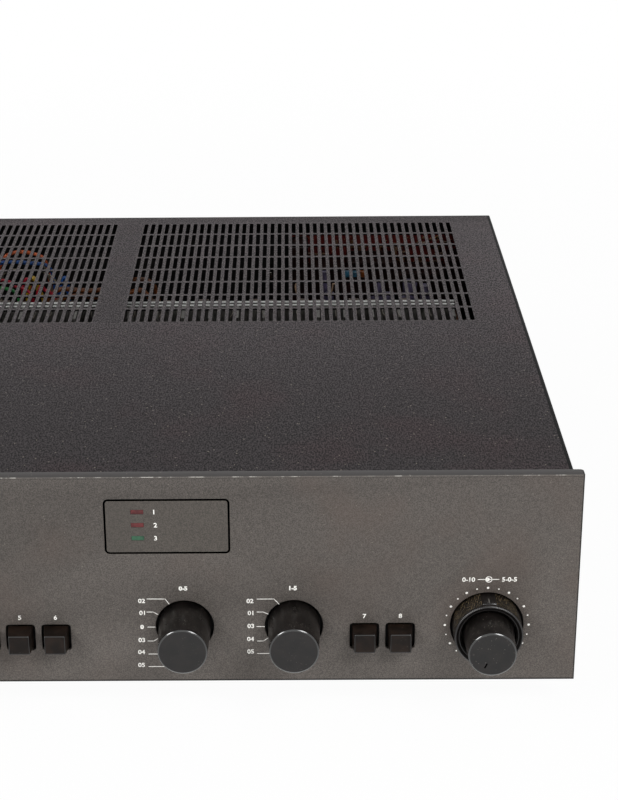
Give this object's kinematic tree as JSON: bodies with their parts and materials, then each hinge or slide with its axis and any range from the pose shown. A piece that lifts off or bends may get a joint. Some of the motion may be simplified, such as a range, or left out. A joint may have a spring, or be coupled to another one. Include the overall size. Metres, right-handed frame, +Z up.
{
  "type": "stereo amplifier",
  "caption": "Full-width stereo amplifier: vented steel cover over a dark panel with push buttons, turning knobs, a volume knob inside a balance ring, and a status window.",
  "frame": {"origin": "on the floor under the feet, in the middle of the amplifier's width and depth", "axes": "+X to the right of the panel as its user sees it, +Y from the panel to the back, +Z up"},
  "size_m": [0.42, 0.385, 0.108],
  "materials": {
    "panel_paint": "satin dark grey-brown paint with a fine grain",
    "cover_paint": "fine-textured dark grey paint",
    "chassis": "black passivated sheet steel",
    "knob_plastic": "satin black",
    "button_plastic": "satin black",
    "foot_plastic": "dull black",
    "window_plastic": "smoked grey-brown",
    "lamp_red": "dim red lens",
    "lamp_green": "dim green lens",
    "steel": "plain",
    "can": "plated",
    "black_plastic": "moulded",
    "board_brown": "laminate",
    "board_red": "laminate",
    "heat_sink": "extruded",
    "core": "varnished steel sheets",
    "coil": "tape over winding",
    "capacitor": "shrunk sleeve",
    "brass": "turned"
  },
  "bodies": {
    "case": {"base_tray": "chassis", "rear_panel": "chassis", "top_cover": "cover_paint", "front_panel": "panel_paint", "foot_front_left": "foot_plastic", "foot_front_right": "foot_plastic", "foot_rear_left": "foot_plastic", "foot_rear_right": "foot_plastic", "control_bass": "can", "control_treble": "can", "control_record": "can", "control_listen": "can", "control_volume": "can", "switches_power": "black_plastic", "switches_speakers": "black_plastic", "switches_filters": "black_plastic", "switches_levels": "black_plastic", "headphone_jack": "black_plastic", "line_sockets": "black_plastic", "speaker_terminals": "black_plastic", "mains_gland": "black_plastic", "output_transistor_1": "black_plastic", "output_transistor_2": "black_plastic", "output_transistor_3": "black_plastic", "output_transistor_4": "black_plastic", "ground_post": "steel", "status_window": "window_plastic", "lamp_power": "lamp_red", "lamp_protection": "lamp_red", "lamp_clipping": "lamp_green", "lamp_board": "board_brown", "amplifier_board": "board_brown", "supply_board": "board_brown", "preamp_board": "board_brown", "input_board": "board_red", "heat_sink": "heat_sink", "transformer_core": "core", "transformer_coil": "coil", "filter_capacitor_front": "capacitor", "filter_capacitor_back": "capacitor"},
    "bass_knob": {"knob_bass": "knob_plastic", "shaft_bass": "steel"},
    "treble_knob": {"knob_treble": "knob_plastic", "shaft_treble": "steel"},
    "record_knob": {"knob_record": "knob_plastic", "shaft_record": "steel"},
    "listen_knob": {"knob_listen": "knob_plastic", "shaft_listen": "steel"},
    "volume_knob": {"knob_volume": "knob_plastic", "shaft_volume": "steel"},
    "balance_ring": {"ring_balance": "knob_plastic", "sleeve_balance": "brass"},
    "power_button": {"button_power": "button_plastic"},
    "speakers_a_button": {"button_speakers_a": "button_plastic"},
    "speakers_b_button": {"button_speakers_b": "button_plastic"},
    "tone_defeat_button": {"button_tone_defeat": "button_plastic"},
    "infrasonic_button": {"button_infrasonic": "button_plastic"},
    "mono_button": {"button_mono": "button_plastic"},
    "low_level_button": {"button_low_level": "button_plastic"},
    "loudness_button": {"button_loudness": "button_plastic"}
  },
  "joints": [
    {"name": "bass_turn", "type": "hinge", "parent": "case", "child": "bass_knob", "pos_m": [-0.11, -0.16805, 0.0386], "axis": [0, 1, 0], "range_deg": [-150, 150]},
    {"name": "treble_turn", "type": "hinge", "parent": "case", "child": "treble_knob", "pos_m": [-0.06598, -0.16805, 0.0386], "axis": [0, 1, 0], "range_deg": [-150, 150]},
    {"name": "record_turn", "type": "hinge", "parent": "case", "child": "record_knob", "pos_m": [0.04555, -0.16805, 0.0386], "axis": [0, 1, 0], "range_deg": [-90, 60]},
    {"name": "listen_turn", "type": "hinge", "parent": "case", "child": "listen_knob", "pos_m": [0.09135, -0.16805, 0.0386], "axis": [0, 1, 0], "range_deg": [-60, 60]},
    {"name": "volume_turn", "type": "hinge", "parent": "case", "child": "volume_knob", "pos_m": [0.1722, -0.16805, 0.0386], "axis": [0, 1, 0], "range_deg": [0, 300]},
    {"name": "balance_turn", "type": "hinge", "parent": "case", "child": "balance_ring", "pos_m": [0.1722, -0.16805, 0.0386], "axis": [0, 1, 0], "range_deg": [-150, 150]},
    {"name": "power_press", "type": "slide", "parent": "case", "child": "power_button", "axis": [0, 1, 0], "range_m": [0, 0.004], "stiffness_N_per_m": 300, "springref_m": -0.001},
    {"name": "speakers_a_press", "type": "slide", "parent": "case", "child": "speakers_a_button", "axis": [0, 1, 0], "range_m": [0, 0.004], "stiffness_N_per_m": 300, "springref_m": -0.001},
    {"name": "speakers_b_press", "type": "slide", "parent": "case", "child": "speakers_b_button", "axis": [0, 1, 0], "range_m": [0, 0.004], "stiffness_N_per_m": 300, "springref_m": -0.001},
    {"name": "tone_defeat_press", "type": "slide", "parent": "case", "child": "tone_defeat_button", "axis": [0, 1, 0], "range_m": [0, 0.004], "stiffness_N_per_m": 300, "springref_m": -0.001},
    {"name": "infrasonic_press", "type": "slide", "parent": "case", "child": "infrasonic_button", "axis": [0, 1, 0], "range_m": [0, 0.004], "stiffness_N_per_m": 300, "springref_m": -0.001},
    {"name": "mono_press", "type": "slide", "parent": "case", "child": "mono_button", "axis": [0, 1, 0], "range_m": [0, 0.004], "stiffness_N_per_m": 300, "springref_m": -0.001},
    {"name": "low_level_press", "type": "slide", "parent": "case", "child": "low_level_button", "axis": [0, 1, 0], "range_m": [0, 0.004], "stiffness_N_per_m": 300, "springref_m": -0.001},
    {"name": "loudness_press", "type": "slide", "parent": "case", "child": "loudness_button", "axis": [0, 1, 0], "range_m": [0, 0.004], "stiffness_N_per_m": 300, "springref_m": -0.001}
  ]
}
